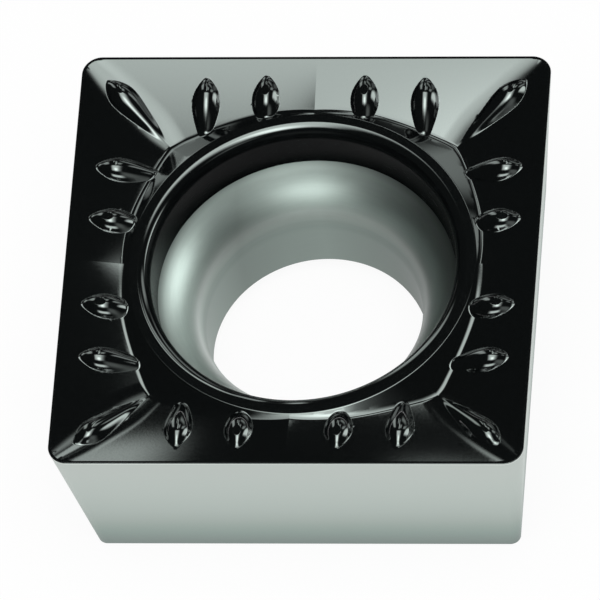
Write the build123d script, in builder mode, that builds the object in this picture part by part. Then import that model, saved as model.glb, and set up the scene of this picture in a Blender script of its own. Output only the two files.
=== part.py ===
from build123d import *
from math import cos, hypot, pi, radians, sin, sqrt, tan
import os

# Square carbide cutting insert, clearance on all flanks, chipbreaker on one side.
# Millimetres, +Z up, origin on the seat where the axis of the screw hole meets it.

os.makedirs("parts", exist_ok=True)

# Body of the insert
inscribed_circle = 9.525      # side of the square between opposite cutting edges
thickness = 3.97              # seat to cutting edge
clearance_angle = 7.0         # lean of each flank below the cutting edge
nose_radius = 0.40            # corner radius of the cutting edge
seat_corner_radius = 0.08     # the same corner down at the seat
edge_land = 0.06              # flat honed land round the top

# Rake facets: they fall from the land towards the hole and get steeper towards the corners
rake_angle_middle = 11.7      # fall at the middle of a side
rake_angle_corner = 18.1      # fall at the corner of the square
groove_inner_line = 1.9       # the facets are worked in as far as this, well under the island

# Corner webs: shallow V strips along the diagonals
web_fall_angle = 11.2         # fall of the strip along the diagonal
web_side_angle = 5.2          # rise of each half of the strip away from the diagonal
web_half_width = 0.9          # half width worked, wider than the part left standing
web_inner_end = 3.6           # distance of its hidden end from the hole axis

# Island: the raised ring round the hole
island_drop = 0.18            # top of the ring below the cutting edge
island_radius = 3.503         # outer edge of that top
island_depth = 0.75           # depth at which the foot outline of the ring is set out
island_foot_middle = 5.40     # foot outline: distance of its corners at the middle of each side
island_foot_corner = 4.59     # foot outline: distance of its corners on the diagonals

# Screw hole, from the top down
rim_radius = 3.35             # where the rim rounding starts
rim_rounding = 0.28           # rounding of the rim
well_bottom_radius = 3.025    # foot of the almost upright well
well_depth = 1.18             # depth of that foot below the cutting edge
bore_radius = 2.19            # the narrowest part, which passes the screw
flare_radius = 1.45           # bell-shaped seat for the screw head
exit_chamfer = 0.36           # chamfer where the bore leaves through the seat

# Raised drops on the facets
drop_radius = 0.29            # fullest radius of a drop round its own axis
drop_sink = 0.10              # depth of that axis under the facet
drop_outer_angle = 42.0       # how steeply a drop starts at its outer point
drop_inner_angle = 15.0       # how slowly it ends towards the hole
drop_nose = 0.50              # from the outer point to the fullest section
inner_drop_offset = 1.00      # drops next to the middle of a side
inner_drop_point = 4.33
inner_drop_end = 3.42
outer_drop_offset = 2.22      # drops further out
outer_drop_point = 4.29
outer_drop_end = 3.07
corner_drop_point = 5.98      # drops on the diagonals
corner_drop_end = 4.42

over = 1.0                    # how far the cutting shapes stand clear of the body

# Places worked out from the sizes above
clearance = radians(clearance_angle)
half_side = inscribed_circle / 2
half_seat = half_side - thickness * tan(clearance)
land_line = half_side - edge_land
land_corner = sqrt(2) * (half_side - nose_radius) + nose_radius - edge_land
island_top = thickness - island_drop
rim_foot_radius = rim_radius - rim_rounding
rim_foot_height = island_top - rim_rounding
well_foot_height = thickness - well_depth
flare_centre_radius = bore_radius + flare_radius
flare_centre_height = well_foot_height - sqrt(
    flare_radius**2 - (flare_centre_radius - well_bottom_radius) ** 2)
slope_middle = tan(radians(rake_angle_middle))
slope_corner = tan(radians(rake_angle_corner))


def facet_height(across, out):
    """Height of the rake facet at a place across the side and out from the hole axis."""
    slope = slope_middle + (slope_corner - slope_middle) * across / land_line
    return thickness - slope * (land_line - out)


def web_height(out):
    """Height of the web along a diagonal, out from the hole axis."""
    return thickness - tan(radians(web_fall_angle)) * (land_corner - out)


def drop_outline(length):
    """Half outline of a drop along its own axis, from the outer point to the inner end."""
    outer, inner = radians(drop_outer_angle), radians(drop_inner_angle)
    first = (-drop_sink / tan(outer), 0)
    last = (length + drop_sink / tan(inner), 0)
    Spline(first, (drop_nose, drop_radius), last,
           tangents=((cos(outer), sin(outer)), (cos(inner), -sin(inner))))
    Line(last, first)


# The rake facets of one quarter, ready to be cut
with BuildPart() as quarter_groove:
    for across in (0, land_line):
        with BuildSketch(Plane.YZ.offset(across)):
            with BuildLine():
                Polyline(
                    (land_line, thickness),
                    (groove_inner_line, facet_height(across, groove_inner_line)),
                    (groove_inner_line, thickness + over),
                    (land_line, thickness + over),
                    close=True,
                )
            make_face()
    loft(ruled=True)
    split(bisect_by=Plane(origin=(0, 0, 0), x_dir=(1, 1, 0), z_dir=(1, -1, 0)), keep=Keep.BOTTOM)
    mirror(about=Plane.YZ)

# The island left standing inside the groove
with BuildPart() as island:
    with BuildSketch(Plane.XY.offset(thickness - island_depth)):
        with BuildLine():
            Polyline(
                *[
                    (reach * cos(turn * pi / 4), reach * sin(turn * pi / 4))
                    for turn, reach in enumerate((island_foot_middle, island_foot_corner) * 4)
                ],
                close=True,
            )
        make_face()
    with BuildSketch(Plane.XY.offset(island_top)):
        with BuildLine():
            for turn in range(8):
                CenterArc((0, 0), island_radius, 45 * turn, 45)
        make_face()
    loft(ruled=True)

# The web left standing along one diagonal
with BuildPart() as web:
    for out in (web_inner_end, land_corner + over):
        rise = web_half_width * tan(radians(web_side_angle))
        with BuildSketch(Plane(origin=(out, 0, 0), x_dir=(0, 1, 0), z_dir=(1, 0, 0))):
            with BuildLine():
                Polyline(
                    (-web_half_width, web_height(out) + rise),
                    (0, web_height(out)),
                    (web_half_width, web_height(out) + rise),
                    (web_half_width, thickness - 3 * over),
                    (-web_half_width, thickness - 3 * over),
                    close=True,
                )
            make_face()
    loft(ruled=True)

# The whole chip groove
with BuildPart() as chip_groove:
    with PolarLocations(0, 4):
        add(quarter_groove.part)
    add(island.part, mode=Mode.SUBTRACT)
    with PolarLocations(0, 4, start_angle=45):
        add(web.part, mode=Mode.SUBTRACT)

# The drops of one side
with BuildPart() as side_drops:
    for across, point, end in (
        (inner_drop_offset, inner_drop_point, inner_drop_end),
        (outer_drop_offset, outer_drop_point, outer_drop_end),
    ):
        run = point - end
        fall = facet_height(across, point) - facet_height(across, end)
        length = hypot(run, fall)
        lean = Vector(0, -run / length, -fall / length)
        top = Vector(0, -fall / length, run / length)
        start = Vector(across, point, facet_height(across, point)) - top * drop_sink
        with BuildSketch(Plane(origin=start, x_dir=lean, z_dir=(-1, 0, 0))):
            with BuildLine():
                drop_outline(length)
            make_face()
        revolve(axis=Axis(start, lean))
    mirror(about=Plane.YZ)

# The drop of one corner, laid out along +X
with BuildPart() as corner_drop:
    run = corner_drop_point - corner_drop_end
    fall = web_height(corner_drop_point) - web_height(corner_drop_end)
    length = hypot(run, fall)
    lean = Vector(-run / length, 0, -fall / length)
    top = Vector(-fall / length, 0, run / length)
    start = Vector(corner_drop_point, 0, web_height(corner_drop_point)) - top * drop_sink
    with BuildSketch(Plane(origin=start, x_dir=lean, z_dir=(0, 1, 0))):
        with BuildLine():
            drop_outline(length)
        make_face()
    revolve(axis=Axis(start, lean))

# What is ground away outside the nose radius of one corner
with BuildPart() as nose_waste:
    for height, reach, radius in (
        (0, half_seat, seat_corner_radius),
        (thickness, half_side, nose_radius),
    ):
        with BuildSketch(Plane.XY.offset(height)):
            with Locations((reach - radius, reach - radius)):
                Rectangle(radius + over, radius + over, align=(Align.MIN, Align.MIN))
                Circle(radius, mode=Mode.SUBTRACT)
    loft(ruled=True)

# The insert
with BuildPart() as insert:
    # block with a flat flank leaning in below each cutting edge
    with BuildSketch():
        Rectangle(inscribed_circle + over, inscribed_circle + over)
    extrude(amount=thickness)
    for outward in (Vector(1, 0), Vector(0, 1), Vector(-1, 0), Vector(0, -1)):
        edge_middle = outward * half_side + Vector(0, 0, thickness)
        facing = outward * cos(clearance) - Vector(0, 0, sin(clearance))
        split(bisect_by=Plane(origin=edge_middle, z_dir=facing), keep=Keep.BOTTOM)

    # nose radii and chip groove
    with PolarLocations(0, 4):
        add(nose_waste.part, mode=Mode.SUBTRACT)
    add(chip_groove.part, mode=Mode.SUBTRACT)

    # raised drops
    with PolarLocations(0, 4):
        add(side_drops.part)
    with PolarLocations(0, 4, start_angle=45):
        add(corner_drop.part)

    # screw hole
    with BuildSketch(Plane.XZ):
        with BuildLine():
            Polyline(
                (rim_radius, island_top),
                (rim_radius, thickness + over),
                (0, thickness + over),
                (0, -over),
                (bore_radius + exit_chamfer + over, -over),
                (bore_radius, exit_chamfer),
                (bore_radius, flare_centre_height),
            )
            ThreePointArc(
                (bore_radius, flare_centre_height),
                (
                    flare_centre_radius - flare_radius / sqrt(2),
                    flare_centre_height + flare_radius / sqrt(2),
                ),
                (well_bottom_radius, well_foot_height),
            )
            Line((well_bottom_radius, well_foot_height), (rim_foot_radius, rim_foot_height))
            RadiusArc((rim_foot_radius, rim_foot_height), (rim_radius, island_top), rim_rounding)
        make_face()
    revolve(axis=Axis.Z, mode=Mode.SUBTRACT)

insert.part.label = "insert"
export_step(insert.part, "parts/insert.step")
print("insert volume", round(insert.part.volume, 2), "cubic mm")
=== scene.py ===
import bpy, bmesh
from math import atan, atan2, cos, exp, hypot, pi, radians, sin, sqrt, tan
from mathutils import Matrix, Vector


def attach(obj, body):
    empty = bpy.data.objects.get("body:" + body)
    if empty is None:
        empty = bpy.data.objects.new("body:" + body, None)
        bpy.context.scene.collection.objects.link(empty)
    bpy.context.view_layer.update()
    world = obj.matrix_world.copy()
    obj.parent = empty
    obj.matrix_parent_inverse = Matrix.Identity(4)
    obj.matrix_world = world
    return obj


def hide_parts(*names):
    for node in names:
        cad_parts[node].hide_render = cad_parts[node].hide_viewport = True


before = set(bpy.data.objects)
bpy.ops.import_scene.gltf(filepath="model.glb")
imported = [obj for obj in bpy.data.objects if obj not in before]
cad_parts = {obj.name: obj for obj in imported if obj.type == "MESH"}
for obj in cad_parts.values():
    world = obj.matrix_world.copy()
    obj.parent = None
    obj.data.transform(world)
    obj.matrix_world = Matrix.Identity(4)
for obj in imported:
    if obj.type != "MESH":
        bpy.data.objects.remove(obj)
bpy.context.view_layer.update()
print("frame loaded")

mm = 0.001
body = {
    "side": 9.525, "thickness": 3.97, "clearance": radians(7),
    "noseRadius": 0.40, "seatCornerRadius": 0.20,
    "land": 0.06, "hone": 0.012, "honeSteps": 5, "flankLevels": (1, 2, 3),
}
facet = {
    "fallMiddle": radians(11.7), "fallCorner": radians(18.1),
    "seamLift": 0.018, "seamReach": 0.42,
    "webFall": radians(11.2), "webSide": radians(5.2), "webBlend": 0.022,
    "valleyRound": 0.12, "valleySharpFrom": 4.5, "valleyRoundFrom": 5.6,
}
island = {
    "drop": 0.18, "radius": 3.503, "footDepth": 0.75, "footMiddle": 5.40, "footCorner": 4.59,
    "leastWall": radians(26), "valleyBlend": 0.060, "edgeRound": 0.012, "edgeSteps": 4,
}
drop = {
    "radius": 0.29, "sink": 0.10, "outerAngle": radians(42), "innerAngle": radians(15),
    "nose": 0.50, "crownBend": -1.15, "tipBend": -1.2, "tailBend": 0.3,   # bends are turns per mm
    "footBlend": 0.055, "halfWidth": 0.4,
    "sideRow": [{"across": 1.00, "point": 4.33, "end": 3.42}, {"across": 2.22, "point": 4.29, "end": 3.07}],
    "corner": {"point": 5.98, "end": 4.42},
}

halfSide = body["side"] / 2
landLine = halfSide - body["land"]
noseCentre = halfSide - body["noseRadius"]
landRadius = body["noseRadius"] - body["land"]
landCorner = sqrt(2) * noseCentre + landRadius
slopeMiddle, slopeCorner = tan(facet["fallMiddle"]), tan(facet["fallCorner"])
samePlace = 1e-4                             # mm: nearer than this is on a line, or is the same point
landSlack = 1e-5


# heights of the moulded face, in mm below the cutting edge

def blendUp(a, b, width):
    h = max(width - abs(a - b), 0) / width
    return max(a, b) + h * h * width / 4


def facetSlope(across):
    lift = facet["seamLift"] * exp(-across / facet["seamReach"])
    return slopeMiddle + (slopeCorner - slopeMiddle) * across / landLine - lift


def facetHeight(across, out):
    return -facetSlope(across) * (landLine - out)


def webHeight(along, aside):
    sharpFrom, roundFrom, fall = facet["valleySharpFrom"], facet["valleyRoundFrom"], tan(facet["webFall"])
    t = min(max((along - sharpFrom) / (roundFrom - sharpFrom), 0), 1)
    width = facet["valleyRound"] * t * t * (3 - 2 * t)
    valley = tan(facet["webSide"]) * (hypot(aside, width) - width) - fall * (landCorner - along)
    nose = -fall * (landRadius - hypot(max(along - sqrt(2) * noseCentre, 0), aside))
    return min(valley, nose)


def islandWall(across, out):
    turn = atan2(across, out)
    corner = island["footCorner"] / sqrt(2)
    toward = island["footMiddle"] - corner
    t = island["footMiddle"] * tan(turn) / (corner + toward * tan(turn))
    foot = hypot(corner * t, island["footMiddle"] - toward * t)
    slope = max((island["footDepth"] - island["drop"]) / (foot - island["radius"]), tan(island["leastWall"]))
    return -island["drop"] - slope * (hypot(across, out) - island["radius"])


def dropRadius(s, length):
    first = -drop["sink"] / tan(drop["outerAngle"])
    last = length + drop["sink"] / tan(drop["innerAngle"])
    if s <= first or s >= last:
        return 0
    if s < drop["nose"]:
        reach, fall, bend = drop["nose"] - first, tan(drop["outerAngle"]), drop["tipBend"]
    else:
        reach, fall, bend = last - drop["nose"], tan(drop["innerAngle"]), drop["tailBend"]
    t = abs(s - drop["nose"]) / reach            # 0 at the crown, 1 at the end
    crown = 1 - 10 * t**3 + 15 * t**4 - 6 * t**5
    ending = 4 * t**3 - 7 * t**4 + 3 * t**5
    bends = drop["crownBend"] * (t * t - 3 * t**3 + 3 * t**4 - t**5) + bend * (t**3 - 2 * t**4 + t**5)
    return max(drop["radius"] * crown + fall * reach * ending + bends * reach * reach / 2, 0)


def withDrop(z, ground, s, aside, end, lean):
    radius = dropRadius(s / lean, end / lean)
    round2 = radius * radius - aside * aside
    if round2 <= 0:
        return z
    return blendUp(z, ground + (sqrt(round2) - drop["sink"]) / lean, drop["footBlend"])


def onLand(across, out):
    if across > noseCentre:
        return hypot(across - noseCentre, out - noseCentre) > landRadius - landSlack
    return out > landLine - landSlack


def topHeight(x, y):
    ax, ay = abs(x), abs(y)
    across, out = min(ax, ay), max(ax, ay)
    if onLand(across, out):
        return 0
    along, aside = (ax + ay) / sqrt(2), abs(ax - ay) / sqrt(2)
    z = blendUp(facetHeight(across, out), webHeight(along, aside), facet["webBlend"])
    z = blendUp(z, islandWall(across, out), island["valleyBlend"])
    for row in drop["sideRow"]:
        beside = across - row["across"]
        if abs(beside) < drop["halfWidth"]:
            lean = cos(atan(facetSlope(row["across"])))
            z = withDrop(z, facetHeight(row["across"], out), row["point"] - out, beside,
                         row["point"] - row["end"], lean)
    if aside < drop["halfWidth"]:
        place = drop["corner"]
        z = withDrop(z, webHeight(along, 0), place["point"] - along, aside, place["point"] - place["end"],
                     cos(facet["webFall"]))
    return min(z, 0)


def slopeNormal(x, y, reach):                # surface normal from the heights a short reach to each side
    slopeX = topHeight(x - reach, y) - topHeight(x + reach, y)
    slopeY = topHeight(x, y - reach) - topHeight(x, y + reach)
    return Vector((slopeX, slopeY, 2 * reach)).normalized()


# one eighth of the moulded face, cut finer where it bends

net = {
    "straightSteps": 30, "noseSteps": 8, "rings": 14,
    "passes": 12, "shortest": 0.008, "flatness": 0.0008, "bend": 0.11,
    "mirrorJoin": 1e-6, "turnJoin": 1e-5,
}
flat = {"half": halfSide - body["hone"], "corner": body["noseRadius"] - body["hone"]}


def edgePoint(step, half, corner):
    if step <= net["straightSteps"]:
        return Vector((noseCentre * step / net["straightSteps"], half, 0))
    turn = pi / 4 * (step - net["straightSteps"]) / net["noseSteps"]
    return Vector((noseCentre + corner * sin(turn), noseCentre + corner * cos(turn), 0))


def makeEighth():
    bm = bmesh.new()
    steps, rings = net["straightSteps"] + net["noseSteps"], net["rings"]
    spokes = [bm.verts.new((0, 1 + i, 0)) for i in range(rings + 1)]
    edges = [bm.edges.new(pair) for pair in zip(spokes, spokes[1:])]
    bmesh.ops.spin(bm, geom=spokes + edges, cent=(0, 0, 0), axis=(0, 0, 1), angle=-pi / 4, steps=steps)
    bmesh.ops.remove_doubles(bm, verts=bm.verts[:], dist=samePlace)
    for v in bm.verts:                        # the plain fan is drawn out to the land and the cutting edge
        step = round(atan2(v.co.x, v.co.y) / (pi / 4) * steps)
        ring = round(v.co.length - 1)
        land = edgePoint(step, landLine, landRadius)
        if ring == rings:
            v.co = edgePoint(step, flat["half"], flat["corner"])
        else:
            start = land.normalized() * (island["radius"] + island["edgeRound"])
            v.co = start.lerp(land, ring / (rings - 1))
    bmesh.ops.triangulate(bm, faces=bm.faces[:])
    return bm


# how far, in mm, a normal's heights are read to each side, and steps off a crease or the land
reading = {"reach": 0.002, "creaseReach": 0.0015, "creaseStep": 0.004, "landStep": 0.006}
knownNormals = {}                            # by place, because neighbours ask for the same ones


def topNormal(x, y):
    key = (round(x, 5), round(y, 5))
    if key not in knownNormals:
        knownNormals[key] = slopeNormal(x, y, reading["reach"])
    return knownNormals[key]


def mirroredNormal(x, y):                    # the face is the same eight times, so one eighth is read
    ax, ay = abs(x), abs(y)
    folded = topNormal(min(ax, ay), max(ax, ay))
    nx, ny = (folded.x, folded.y) if ax <= ay else (folded.y, folded.x)
    return Vector((nx if x > 0 else -nx, ny if y > 0 else -ny, folded.z))


def isLandPlace(ax, ay):
    return onLand(min(ax, ay), max(ax, ay))


def isLandVertex(v):
    return isLandPlace(abs(v.co.x), abs(v.co.y))


def splitFace(face, fresh):                  # a triangle with one, two or three halved sides
    verts = face.verts[:]
    halved = len(verts) - 3
    first = next(i for i, v in enumerate(verts) if v in fresh and (halved == 3 or verts[i - 2] not in fresh))
    verts = verts[first:] + verts[:first]
    if halved == 1:
        cuts = [(verts[0], verts[2])]
    elif halved == 2:
        shortWay = (verts[0].co - verts[3].co).length < (verts[2].co - verts[4].co).length
        cuts = [(verts[0], verts[2]), (verts[0], verts[3]) if shortWay else (verts[2], verts[4])]
    else:
        cuts = [(verts[0], verts[2]), (verts[2], verts[4]), (verts[4], verts[0])]
    parts = [face]
    for a, b in cuts:
        part = next(p for p in parts if a in p.verts[:] and b in p.verts[:])
        parts.append(bmesh.utils.face_split(part, a, b)[0])


def cutFiner(bm):
    def tiltAt(v):
        if isLandVertex(v):
            inward = v.co.xy * (1 - reading["landStep"] / v.co.xy.length)
            return topNormal(inward.x, inward.y)
        return topNormal(v.co.x, v.co.y)

    for step in range(net["passes"]):
        coarse = []
        for edge in bm.edges:
            a, b = edge.verts
            if (a.co.xy - b.co.xy).length < 2 * net["shortest"] or (isLandVertex(a) and isLandVertex(b)):
                continue
            middle = topHeight((a.co.x + b.co.x) / 2, (a.co.y + b.co.y) / 2)
            bowed = abs(middle - (a.co.z + b.co.z) / 2) > net["flatness"]
            if bowed or tiltAt(a).angle(tiltAt(b)) > net["bend"]:
                coarse.append(edge)
        if not coarse:
            break
        halved = bmesh.ops.bisect_edges(bm, edges=coarse, cuts=1)["geom_split"]
        fresh = {g for g in halved if isinstance(g, bmesh.types.BMVert)}
        for face in [f for f in bm.faces if len(f.verts) > 3]:
            splitFace(face, fresh)
        for v in bm.verts:
            v.co.z = topHeight(v.co.x, v.co.y)


def insideOf(ax, ay, middleX, middleY):      # steps off a crease or the land, to the side the face lies on
    step = reading["creaseStep"]
    place = Vector((ax, ay))
    if isLandPlace(ax, ay):
        centre = Vector((min(ax, noseCentre), min(ay, noseCentre)))
        if ax <= noseCentre and ay <= noseCentre:
            centre = Vector((0, ay)) if ax > ay else Vector((ax, 0))
        elif ax <= noseCentre:
            centre.x = ax
        elif ay <= noseCentre:
            centre.y = ay
        place += (centre - place).normalized() * step
    if abs(ax - ay) < samePlace:
        side = 1 if middleX > middleY else -1
        place += Vector((side, -side)) * step * 0.7
    if ax < samePlace:
        place.x += step
    if ay < samePlace:
        place.y += step
    return place


def shadeTop(face, shade):
    middle = face.calc_center_median()
    flatFace = all(isLandVertex(v) for v in face.verts)
    for loop in face.loops:
        x, y = loop.vert.co.xy
        ax, ay = abs(x), abs(y)
        if flatFace:
            loop[shade] = Vector((0, 0, 1))
        elif min(ax, ay) < samePlace or abs(ax - ay) < samePlace or isLandVertex(loop.vert):
            inside = insideOf(ax, ay, abs(middle.x), abs(middle.y))
            x = inside.x if x + middle.x > 0 else -inside.x
            y = inside.y if y + middle.y > 0 else -inside.y
            loop[shade] = slopeNormal(x, y, reading["creaseReach"])
        else:
            loop[shade] = mirroredNormal(x, y)


# rings run on from the rim of the face: outwards over the hone and down the flank, inwards down the hole

def extrudeRing(bm, shade, ring, place, material, startNormal, endNormal):
    made = bmesh.ops.extrude_edge_only(bm, edges=ring)["geom"]
    fresh = [g for g in made if isinstance(g, bmesh.types.BMVert)]
    for v in fresh:
        v.co = place(v.co)
    freshSet = set(fresh)
    for face in (g for g in made if isinstance(g, bmesh.types.BMFace)):
        face.material_index = material
        face.smooth = True
        for loop in face.loops:
            normal = endNormal if loop.vert in freshSet else startNormal
            loop[shade] = normal(loop.vert.co)
    edges = [g for g in made if isinstance(g, bmesh.types.BMEdge)]
    return [e for e in edges if e.verts[0] in freshSet and e.verts[1] in freshSet]


def sidePlace(start, end, level):
    startFlat, endFlat = start["half"] - start["corner"], end["half"] - end["corner"]

    def place(co):
        sx, sy = (1 if co.x >= 0 else -1), (1 if co.y >= 0 else -1)
        ax, ay = abs(co.x), abs(co.y)
        if ax > startFlat and ay > startFlat:
            turn = atan2(ax - startFlat, ay - startFlat)
            outX, outY = endFlat + end["corner"] * sin(turn), endFlat + end["corner"] * cos(turn)
            return Vector((sx * outX, sy * outY, level))
        if ay >= ax:
            return Vector((sx * ax / startFlat * endFlat, sy * end["half"], level))
        return Vector((sx * end["half"], sy * ay / startFlat * endFlat, level))
    return place


def sideNormal(section, rise):                # rise: upward tilt of the surface normal, in radians
    flatEnd = section["half"] - section["corner"]

    def normal(co):
        ax, ay = max(abs(co.x) - flatEnd, 0), max(abs(co.y) - flatEnd, 0)
        outward = Vector((ax if co.x >= 0 else -ax, ay if co.y >= 0 else -ay, 0)).normalized()
        return (outward * cos(rise) + Vector((0, 0, sin(rise)))).normalized()
    return normal


def holePlace(radius, level):
    def place(co):
        return Vector((co.x, co.y, 0)).normalized() * radius + Vector((0, 0, level))
    return place


def holeNormal(rise):
    def normal(co):
        return Vector((-co.x, -co.y, 0)).normalized() * cos(rise) + Vector((0, 0, sin(rise)))
    return normal


hole = {
    "rimRadius": 3.34, "rimRounding": 0.27, "rimSteps": 12, "coatedTo": radians(40),
    "wellFootRadius": 3.025, "wellDepth": 1.18, "wellSteps": 2,
    "boreRadius": 2.19, "flareRadius": 1.45, "flareSteps": 18, "exitChamfer": 0.36,
}
coated, ground, well, bore = 0, 1, 2, 3


def runDownFlank(bm, shade, ring):
    steps = body["honeSteps"]
    section = dict(flat)
    last = pi / 2 + body["clearance"]
    for i in range(1, steps + 1):
        before, turn = last * (i - 1) / steps, last * i / steps
        grown = body["hone"] * sin(turn)
        end = {"half": flat["half"] + grown, "corner": flat["corner"] + grown}
        ring = extrudeRing(bm, shade, ring, sidePlace(section, end, -body["hone"] * (1 - cos(turn))),
                           coated if i < steps else ground,
                           sideNormal(section, pi / 2 - before), sideNormal(end, pi / 2 - turn))
        section = end
    for depth in (*body["flankLevels"], body["thickness"]):
        share = depth / body["thickness"]
        end = {
            "half": halfSide - depth * tan(body["clearance"]),
            "corner": body["noseRadius"] + (body["seatCornerRadius"] - body["noseRadius"]) * share,
        }
        ring = extrudeRing(bm, shade, ring, sidePlace(section, end, -depth), ground,
                           sideNormal(section, -body["clearance"]), sideNormal(end, -body["clearance"]))
        section = end
    return ring


def islandEdgePlace(t):
    def place(co):
        outward = Vector((co.x, co.y, 0)).normalized()
        start = outward * (island["radius"] + island["edgeRound"])
        ax, ay = abs(start.x), abs(start.y)
        start.z = topHeight(min(ax, ay), max(ax, ay))
        corner = outward * island["radius"] + Vector((0, 0, -island["drop"]))
        end = outward * (island["radius"] - island["edgeRound"]) + Vector((0, 0, -island["drop"]))
        return start.lerp(corner, t).lerp(corner.lerp(end, t), t)
    return place


def islandEdgeNormal(t):
    def normal(co):
        outward = Vector((co.x, co.y, 0)).normalized()
        wall = outward * (island["radius"] + 2 * island["edgeRound"])
        return mirroredNormal(wall.x, wall.y).lerp(Vector((0, 0, 1)), t).normalized()
    return normal


def runDownHole(bm, shade, ring):
    for i in range(1, island["edgeSteps"] + 1):
        before, now = (i - 1) / island["edgeSteps"], i / island["edgeSteps"]
        ring = extrudeRing(bm, shade, ring, islandEdgePlace(now), coated,
                           islandEdgeNormal(before), islandEdgeNormal(now))
    top, rounding, upright = -island["drop"], hole["rimRounding"], holeNormal(pi / 2)
    ring = extrudeRing(bm, shade, ring, holePlace(hole["rimRadius"], top), coated, upright, upright)
    for i in range(1, hole["rimSteps"] + 1):
        before, turn = pi / 2 * (i - 1) / hole["rimSteps"], pi / 2 * i / hole["rimSteps"]
        place = holePlace(hole["rimRadius"] - rounding * sin(turn), top - rounding * (1 - cos(turn)))
        ring = extrudeRing(bm, shade, ring, place, coated if turn < hole["coatedTo"] else well,
                           holeNormal(pi / 2 - before), holeNormal(pi / 2 - turn))
    wellRadius, wellTop = hole["rimRadius"] - rounding, top - rounding
    lean = atan((wellRadius - hole["wellFootRadius"]) / (hole["wellDepth"] + wellTop))
    for i in range(1, hole["wellSteps"] + 1):
        t = i / hole["wellSteps"]
        place = holePlace(wellRadius + (hole["wellFootRadius"] - wellRadius) * t,
                          wellTop - (hole["wellDepth"] + wellTop) * t)
        ring = extrudeRing(bm, shade, ring, place, well, holeNormal(lean), holeNormal(lean))
    centre = hole["boreRadius"] + hole["flareRadius"]
    flareReach = centre - hole["wellFootRadius"]
    flareTurn = atan2(sqrt(hole["flareRadius"] ** 2 - flareReach ** 2), flareReach)
    flareFoot = -hole["wellDepth"] - hole["flareRadius"] * sin(flareTurn)
    for i in range(1, hole["flareSteps"] + 1):
        before = flareTurn * (1 - (i - 1) / hole["flareSteps"])
        turn = flareTurn * (1 - i / hole["flareSteps"])
        place = holePlace(centre - hole["flareRadius"] * cos(turn),
                          flareFoot + hole["flareRadius"] * sin(turn))
        ring = extrudeRing(bm, shade, ring, place, bore, holeNormal(before), holeNormal(turn))
    place = holePlace(hole["boreRadius"], hole["exitChamfer"] - body["thickness"])
    ring = extrudeRing(bm, shade, ring, place, bore, holeNormal(0), holeNormal(0))
    place = holePlace(hole["boreRadius"] + hole["exitChamfer"], -body["thickness"])
    return extrudeRing(bm, shade, ring, place, bore, holeNormal(-pi / 4), holeNormal(-pi / 4))


def makeInsertMesh():
    bm = makeEighth()
    cutFiner(bm)
    print("eighth of the face cut,", len(bm.faces), "triangles")
    bmesh.ops.mirror(bm, geom=bm.verts[:] + bm.edges[:] + bm.faces[:], axis="X", merge_dist=net["mirrorJoin"])
    quarter = bm.verts[:] + bm.edges[:] + bm.faces[:]
    for turn in range(1, 4):
        copy = bmesh.ops.duplicate(bm, geom=quarter)["geom"]
        bmesh.ops.rotate(bm, verts=[g for g in copy if isinstance(g, bmesh.types.BMVert)],
                         cent=(0, 0, 0), matrix=Matrix.Rotation(turn * pi / 2, 3, "Z"))
    bmesh.ops.remove_doubles(bm, verts=bm.verts[:], dist=net["turnJoin"])
    bmesh.ops.recalc_face_normals(bm, faces=bm.faces[:])
    if sum(f.normal.z for f in bm.faces) < 0:
        bmesh.ops.reverse_faces(bm, faces=bm.faces[:])
    shade = bm.loops.layers.float_vector.new("shade")
    for face in bm.faces:
        face.smooth = True
        shadeTop(face, shade)
    rim = [e for e in bm.edges if e.is_boundary]
    outer = [e for e in rim if e.verts[0].co.xy.length > landLine]
    inner = [e for e in rim if e.verts[0].co.xy.length <= landLine]
    outer = runDownFlank(bm, shade, outer)
    inner = runDownHole(bm, shade, inner)
    seat = bmesh.ops.triangle_fill(bm, use_beauty=True, edges=outer + inner, normal=(0, 0, -1))["geom"]
    for face in (g for g in seat if isinstance(g, bmesh.types.BMFace)):
        face.material_index = ground
        face.smooth = True
        for loop in face.loops:
            loop[shade] = Vector((0, 0, -1))
    bmesh.ops.recalc_face_normals(bm, faces=bm.faces[:])
    bmesh.ops.translate(bm, verts=bm.verts[:], vec=(0, 0, body["thickness"]))
    bmesh.ops.scale(bm, verts=bm.verts[:], vec=(mm, mm, mm))
    openEdges = sum(1 for e in bm.edges if not e.is_manifold)
    print("insert closed,", len(bm.faces), "faces,", openEdges, "open edges")
    mesh = bpy.data.meshes.new("insertBody")
    bm.to_mesh(mesh)
    bm.free()
    normals = [0.0] * (3 * len(mesh.loops))
    mesh.attributes["shade"].data.foreach_get("vector", normals)
    mesh.normals_split_custom_set([normals[i:i + 3] for i in range(0, len(normals), 3)])
    mesh.attributes.remove(mesh.attributes["shade"])
    return mesh


insertMesh = makeInsertMesh()
insertBody = bpy.data.objects.new("insertBody", insertMesh)
bpy.context.scene.collection.objects.link(insertBody)
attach(insertBody, "root")
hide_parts("insert")
print("insert placed")


# finishes: the materials' own colours and grain, with painted light and shade ramped into the carbide

def newMaterial(name):
    material = bpy.data.materials.new(name)
    material.use_nodes = True
    return material, material.node_tree.nodes, material.node_tree.links


def addNode(nodes, kind, **settings):
    node = nodes.new("ShaderNode" + kind)
    for setting, value in settings.items():
        setattr(node, setting, value)
    return node


def mathNode(nodes, links, operation, first, second):
    node = addNode(nodes, "Math", operation=operation)
    for socket, value in zip(node.inputs, (first, second)):
        if isinstance(value, (int, float)):
            socket.default_value = value
        else:
            links.new(value, socket)
    return node.outputs[0]


def softEdge(nodes, links, value, edge, soft):
    ramp = addNode(nodes, "MapRange", interpolation_type="SMOOTHSTEP")
    ramp.inputs["From Min"].default_value = edge - soft
    ramp.inputs["From Max"].default_value = edge + soft
    links.new(value, ramp.inputs["Value"])
    return ramp.outputs["Result"]


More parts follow.
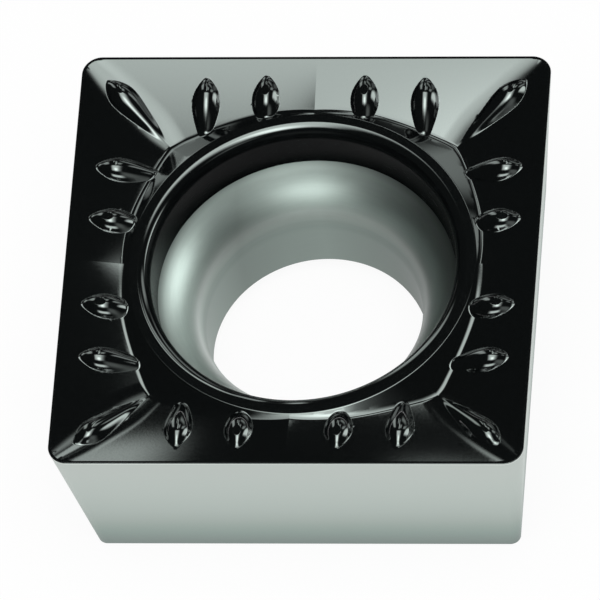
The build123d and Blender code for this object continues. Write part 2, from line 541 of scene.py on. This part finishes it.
def newGroup(name, ins, outs):
    group = bpy.data.node_groups.new(name, "ShaderNodeTree")
    for label, kind in ins:
        group.interface.new_socket(label, in_out="INPUT", socket_type="NodeSocket" + kind)
    for label, kind in outs:
        group.interface.new_socket(label, in_out="OUTPUT", socket_type="NodeSocket" + kind)
    given, made = group.nodes.new("NodeGroupInput"), group.nodes.new("NodeGroupOutput")
    return group, group.nodes, group.links, given, made


grain = {"detail": 2.5, "roughness": 0.6, "from": 0.3, "to": 0.7}


def makeGrainGroup():                        # even grain from a low to a high value, finer where stretched
    group, nodes, links, given, made = newGroup(
        "grain", [("Stretch", "Vector"), ("Low", "Float"), ("High", "Float")], [("Value", "Float")])
    place = addNode(nodes, "TexCoord")
    scaled = addNode(nodes, "VectorMath", operation="MULTIPLY")
    links.new(place.outputs["Object"], scaled.inputs[0])
    links.new(given.outputs["Stretch"], scaled.inputs[1])
    noise = addNode(nodes, "TexNoise")
    noise.inputs["Scale"].default_value = 1
    noise.inputs["Detail"].default_value = grain["detail"]
    noise.inputs["Roughness"].default_value = grain["roughness"]
    links.new(scaled.outputs[0], noise.inputs["Vector"])
    span = addNode(nodes, "MapRange")
    span.inputs["From Min"].default_value = grain["from"]
    span.inputs["From Max"].default_value = grain["to"]
    links.new(noise.outputs["Fac"], span.inputs["Value"])
    links.new(given.outputs["Low"], span.inputs["To Min"])
    links.new(given.outputs["High"], span.inputs["To Max"])
    links.new(span.outputs["Result"], made.inputs["Value"])
    return group


def makeShareGroup(name, axis, start, span):     # place along one axis of the insert, 0 to 1
    group, nodes, links, given, made = newGroup(name, [], [("Value", "Float")])
    place = addNode(nodes, "TexCoord")
    split = addNode(nodes, "SeparateXYZ")
    links.new(place.outputs["Object"], split.inputs[0])
    fromStart = mathNode(nodes, links, "SUBTRACT", split.outputs[axis], start * mm)
    links.new(mathNode(nodes, links, "DIVIDE", fromStart, span * mm), made.inputs["Value"])
    return group


grainGroup = makeGrainGroup()
heightGroup = makeShareGroup("heightShare", "Z", 0, body["thickness"])
widthGroup = makeShareGroup("widthShare", "X", -halfSide, body["side"])
finishes = [
    {"name": "blackCoat", "color": (0.0022, 0.0028, 0.0030), "metallic": 0, "ior": 2.2,
     "stretch": (21000, 21000, 21000), "tone": (0.8, 1.2), "roughness": (0.050, 0.080), "relief": 0.06},
    {"name": "groundCarbide", "color": (0.545, 0.594, 0.564), "metallic": 1, "ior": 1.5,
     "stretch": (9000, 9000, 14000), "tone": (0.985, 1.015), "roughness": (0.42, 0.47), "relief": 0.05,
     # the height ramp paints shade darkening the flank towards the seat, where it would reflect the floor's
     # contact shadow, and its top stops paint a highlight along the hone's edge
     "lightAndShadeByHeight": [(0.000, (0.40, 0.45, 0.445)), (0.045, (0.45, 0.505, 0.495)), (0.145, (0.545, 0.625, 0.605)),
                  (0.22, (0.64, 0.705, 0.68)), (0.30, (0.75, 0.79, 0.775)), (0.40, (0.84, 0.875, 0.865)),
                  (0.50, (0.895, 0.925, 0.915)), (0.62, (0.945, 0.965, 0.96)), (0.75, (0.975, 0.99, 0.985)),
                  (0.87, (1, 1, 1)), (0.9865, (1, 1, 1)),
                  (0.9885, (1.22, 1.20, 1.20)), (1.0, (1.22, 1.20, 1.20))]},
    {"name": "wellCoat", "color": (0.0025, 0.0031, 0.0033), "metallic": 0, "ior": 1.12,
     "stretch": (3000, 3000, 24000), "tone": (0.6, 1.4), "roughness": (0.22, 0.28), "relief": 0.10},
    # the bore's carbide is the flank's colour made brighter, a lit copy that paints in light the flare's
    # reflection lobe needs
    {"name": "boreCarbide", "color": (0.93, 0.98, 0.955), "metallic": 1, "ior": 1.5,
     "stretch": (2500, 2500, 26000), "tone": (0.975, 1.025), "roughness": (0.44, 0.48), "relief": 0.06,
     # its height ramp paints the flare's bright reflection lobe, with painted shade at the flare's top under
     # the well and down the straight bore
     "lightAndShadeByHeight": [(0.00, (0.335, 0.38, 0.36)), (0.41, (0.35, 0.40, 0.38)), (0.447, (0.42, 0.47, 0.45)),
                  (0.483, (0.66, 0.70, 0.68)), (0.518, [1] * 3), (0.613, [1] * 3), (0.64, [0.97] * 3),
                  (0.664, [0.90] * 3), (0.685, [0.70] * 3), (0.703, [0.33] * 3)],
     # the across-width ramp paints the bore lighter on its left side and darker on its right, as painted
     # light
     "lightAndShadeAcrossWidth": [(0.19, [1] * 3), (0.25, [0.95] * 3), (0.33, [0.64] * 3), (0.42, [0.76] * 3),
                     (0.50, [0.80] * 3), (0.64, [0.57] * 3), (0.73, [0.38] * 3)]},
]
reliefDepth = 0.001 * mm


def useGroup(nodes, group, **values):
    node = addNode(nodes, "Group", node_tree=group)
    for label, value in values.items():
        node.inputs[label].default_value = value
    return node.outputs[0]


def makeRamp(nodes, tones):
    ramp = addNode(nodes, "ValToRGB")
    stops = ramp.color_ramp.elements
    for share, color in tones[1:-1]:
        stops.new(share)
    for stop, (share, color) in zip(stops, tones):
        stop.position = share
        stop.color = (*color, 1)
    return ramp


for finish in finishes:
    material, nodes, links = newMaterial(finish["name"])
    shader = nodes["Principled BSDF"]
    shader.inputs["Metallic"].default_value = finish["metallic"]
    shader.inputs["IOR"].default_value = finish["ior"]
    low, high = finish["tone"]
    tone = useGroup(nodes, grainGroup, Stretch=finish["stretch"], Low=low, High=high)
    toned = addNode(nodes, "VectorMath", operation="SCALE")
    toned.inputs[0].default_value = finish["color"]
    links.new(tone, toned.inputs["Scale"])
    # ramps by height and across the width multiply painted light and shade into the base colour
    for along, group in (("lightAndShadeByHeight", heightGroup), ("lightAndShadeAcrossWidth", widthGroup)):
        if along in finish:
            ramp = makeRamp(nodes, finish[along])
            links.new(useGroup(nodes, group), ramp.inputs[0])
            multiplied = addNode(nodes, "VectorMath", operation="MULTIPLY")
            links.new(toned.outputs[0], multiplied.inputs[0])
            links.new(ramp.outputs["Color"], multiplied.inputs[1])
            toned = multiplied
    links.new(toned.outputs[0], shader.inputs["Base Color"])
    low, high = finish["roughness"]
    rough = useGroup(nodes, grainGroup, Stretch=finish["stretch"], Low=low, High=high)
    links.new(rough, shader.inputs["Roughness"])
    relief = addNode(nodes, "Bump")
    relief.inputs["Strength"].default_value = finish["relief"]
    relief.inputs["Distance"].default_value = reliefDepth
    links.new(useGroup(nodes, grainGroup, Stretch=finish["stretch"], Low=0, High=1), relief.inputs["Height"])
    links.new(relief.outputs[0], shader.inputs["Normal"])
    insertMesh.materials.append(material)
print("finishes made")


# floor, sky and light tent

def seenDirectly(nodes, links):              # 1 for camera, glossy and transmission rays
    seen = nodes.new("ShaderNodeLightPath").outputs
    cameraOrGlossy = mathNode(nodes, links, "MAXIMUM", seen["Is Camera Ray"], seen["Is Glossy Ray"])
    return mathNode(nodes, links, "MAXIMUM", cameraOrGlossy, seen["Is Transmission Ray"])


stage = {
    "floorHalf": 3.0, "floorLow": 0.01 * mm, "floorGlow": 0.93, "floorGrey": 0.95, "ambient": 0.45,
    "tentRadius": 0.9, "tentFoot": radians(1), "tentRound": 96, "tentUp": 64,
    "tentGrey": 0.015, "tentTint": (0.88, 1, 0.95, 1),
}


def makeFloor():
    mesh = bpy.data.meshes.new("floor")
    bm = bmesh.new()
    bmesh.ops.create_grid(bm, x_segments=1, y_segments=1, size=stage["floorHalf"])
    bm.to_mesh(mesh)
    bm.free()
    floor = bpy.data.objects.new("floor", mesh)
    bpy.context.scene.collection.objects.link(floor)
    floor.location.z = -stage["floorLow"]        # a hair under the seat, so the two planes don't flicker
    material, nodes, links = newMaterial("paleFloor")
    nodes.remove(nodes["Principled BSDF"])
    paper = nodes.new("ShaderNodeBsdfDiffuse")
    paper.inputs["Color"].default_value = [stage["floorGrey"]] * 3 + [1]
    glow = nodes.new("ShaderNodeEmission")
    mix = nodes.new("ShaderNodeMixShader")
    share = mathNode(nodes, links, "MULTIPLY", seenDirectly(nodes, links), stage["floorGlow"])
    links.new(share, mix.inputs["Fac"])
    links.new(paper.outputs[0], mix.inputs[1])
    links.new(glow.outputs[0], mix.inputs[2])
    links.new(mix.outputs[0], nodes["Material Output"].inputs["Surface"])
    mesh.materials.append(material)


# panels round the tent, each bounded by the direction it lies in as seen from the insert
panels = [
    {"x": (-0.23, 0.24), "y": (-0.33, 0.42),                        # overhead
     "soft": (0.10, 0.16, 0.12, 0.04), "strength": 3.0},
    {"x": (-0.06, 0.14), "y": (-0.36, 0.04),                        # its hot middle
     "soft": (0.09, 0.10, 0.14, 0.14), "strength": 3.8},
    {"x": (-0.34, 0.28), "z": (0.32, 0.56), "y": (-1.50, 0),        # front
     "soft": (0.12, 0.14, 0.08, 0.08), "strength": 3.4},
    {"x": (0.76, 0.98), "y": (0.14, 0.60),                          # right
     "soft": (0.06, 0.02, 0.12, 0.12), "strength": 3.4},
    {"x": (0.32, 0.72), "y": (-0.80, -0.40),                        # front right
     "soft": (0.15, 0.15, 0.15, 0.15), "strength": 0.45},
    {"x": (-0.17, -0.133), "z": (0.24, 0.485), "y": (0, 1.50),      # back left
     "soft": (0.01, 0.020, 0.03, 0.03), "strength": 1.8},
    {"x": (-0.070, 0.00), "y": (0.83, 0.95),                        # low back
     "soft": (0.01, 0.02, 0.02, 0.02), "strength": 1.3},
    {"x": (-0.03, 0.05), "y": (0.56, 0.84),                         # back
     "soft": (0.02, 0.02, 0.03, 0.03), "strength": 2.1},
    {"x": (0.10, 0.25), "y": (0.62, 0.80),                          # back, right of it
     "soft": (0.05, 0.05, 0.05, 0.05), "strength": 1.3},
    {"x": (0.47, 0.66), "y": (0.56, 0.72),                          # back right
     "soft": (0.04, 0.05, 0.04, 0.05), "strength": 1.1},
    {"x": (-0.57, -0.40), "y": (0.66, 0.93),                        # far left
     "soft": (0.05, 0.05, 0.04, 0.04), "strength": 1.4},
    {"x": (0.12, 0.50), "z": (0.18, 0.34), "y": (0, 1.50),          # low right
     "soft": (0.08, 0.16, 0.08, 0.08), "strength": 0.85},
]
levelEdge = (0.01, 0.01)                     # softness of a panel's third bound, where it has one


def makeTent():
    mesh = bpy.data.meshes.new("lightTent")
    bm = bmesh.new()
    bmesh.ops.create_uvsphere(bm, u_segments=stage["tentRound"], v_segments=stage["tentUp"],
                              radius=stage["tentRadius"])
    low = [v for v in bm.verts if v.co.z < stage["tentRadius"] * sin(stage["tentFoot"])]
    bmesh.ops.delete(bm, geom=low, context="VERTS")
    bm.to_mesh(mesh)
    bm.free()
    tent = bpy.data.objects.new("lightTent", mesh)
    bpy.context.scene.collection.objects.link(tent)
    material, nodes, links = newMaterial("tentCloth")
    nodes.remove(nodes["Principled BSDF"])
    place = nodes.new("ShaderNodeTexCoord")
    toward = nodes.new("ShaderNodeVectorMath")
    toward.operation = "NORMALIZE"
    links.new(place.outputs["Object"], toward.inputs[0])
    split = nodes.new("ShaderNodeSeparateXYZ")
    links.new(toward.outputs[0], split.inputs[0])
    axes = dict(zip("xyz", split.outputs))
    total = stage["tentGrey"]
    for panel in panels:
        level = panel["strength"]            # softened at each bound, and 0 beyond it
        bounded = [axis for axis in "xzy" if axis in panel]
        for axis, soft in zip(bounded, (panel["soft"][:2], panel["soft"][2:], levelEdge)):
            low, high = panel[axis]
            rise = softEdge(nodes, links, axes[axis], low, soft[0])
            fall = mathNode(nodes, links, "SUBTRACT", 1, softEdge(nodes, links, axes[axis], high, soft[1]))
            level = mathNode(nodes, links, "MULTIPLY", mathNode(nodes, links, "MULTIPLY", rise, fall), level)
        total = mathNode(nodes, links, "ADD", level, total)
    glow = nodes.new("ShaderNodeEmission")
    glow.inputs["Color"].default_value = stage["tentTint"]
    links.new(total, glow.inputs["Strength"])
    links.new(glow.outputs[0], nodes["Material Output"].inputs["Surface"])
    mesh.materials.append(material)
    tent.visible_camera = False
    tent.visible_diffuse = False
    tent.visible_shadow = False
    tent.visible_transmission = False


def makeSky():
    world = bpy.data.worlds.new("paleRoom")
    bpy.context.scene.world = world
    world.use_nodes = True
    nodes, links = world.node_tree.nodes, world.node_tree.links
    nodes["Background"].inputs["Color"].default_value = (1, 1, 1, 1)
    nodes["Background"].inputs["Strength"].default_value = stage["ambient"]
    white = nodes.new("ShaderNodeBackground")
    white.inputs["Color"].default_value = (1, 1, 1, 1)
    mix = nodes.new("ShaderNodeMixShader")
    links.new(seenDirectly(nodes, links), mix.inputs["Fac"])
    links.new(nodes["Background"].outputs[0], mix.inputs[1])
    links.new(white.outputs[0], mix.inputs[2])
    links.new(mix.outputs[0], nodes["World Output"].inputs["Surface"])


overheadLamp = {"place": (0.03, -0.09, 0.40), "size": 0.36, "radiance": 3.4}


def makeLamp():
    lamp = bpy.data.lights.new("overheadLamp", "AREA")
    lamp.shape = "DISK"
    lamp.size = overheadLamp["size"]
    lamp.energy = overheadLamp["radiance"] * pi * pi * (overheadLamp["size"] / 2) ** 2
    item = bpy.data.objects.new("overheadLamp", lamp)
    item.location = overheadLamp["place"]
    item.rotation_euler = (-Vector(overheadLamp["place"])).to_track_quat("-Z", "Y").to_euler()
    item.visible_camera = False
    item.visible_glossy = False
    bpy.context.scene.collection.objects.link(item)


makeFloor()
makeTent()
makeSky()
makeLamp()
print("stage made")


view = {
    "place": (0.0405276, -0.1544166, 0.2570823),
    "turn": (radians(31.46065), radians(6.65856), radians(4.04538)),
    "lens": 899.04, "film": 36, "clip": (0.01, 10),
}
cameraData = bpy.data.cameras.new("camera")
cameraData.lens = view["lens"]
cameraData.sensor_width = view["film"]
cameraData.clip_start, cameraData.clip_end = view["clip"]
camera = bpy.data.objects.new("camera", cameraData)
camera.location = view["place"]
camera.rotation_euler = view["turn"]
bpy.context.scene.collection.objects.link(camera)
bpy.context.scene.camera = camera
bpy.context.scene.view_settings.view_transform = "Standard"
print("camera placed")
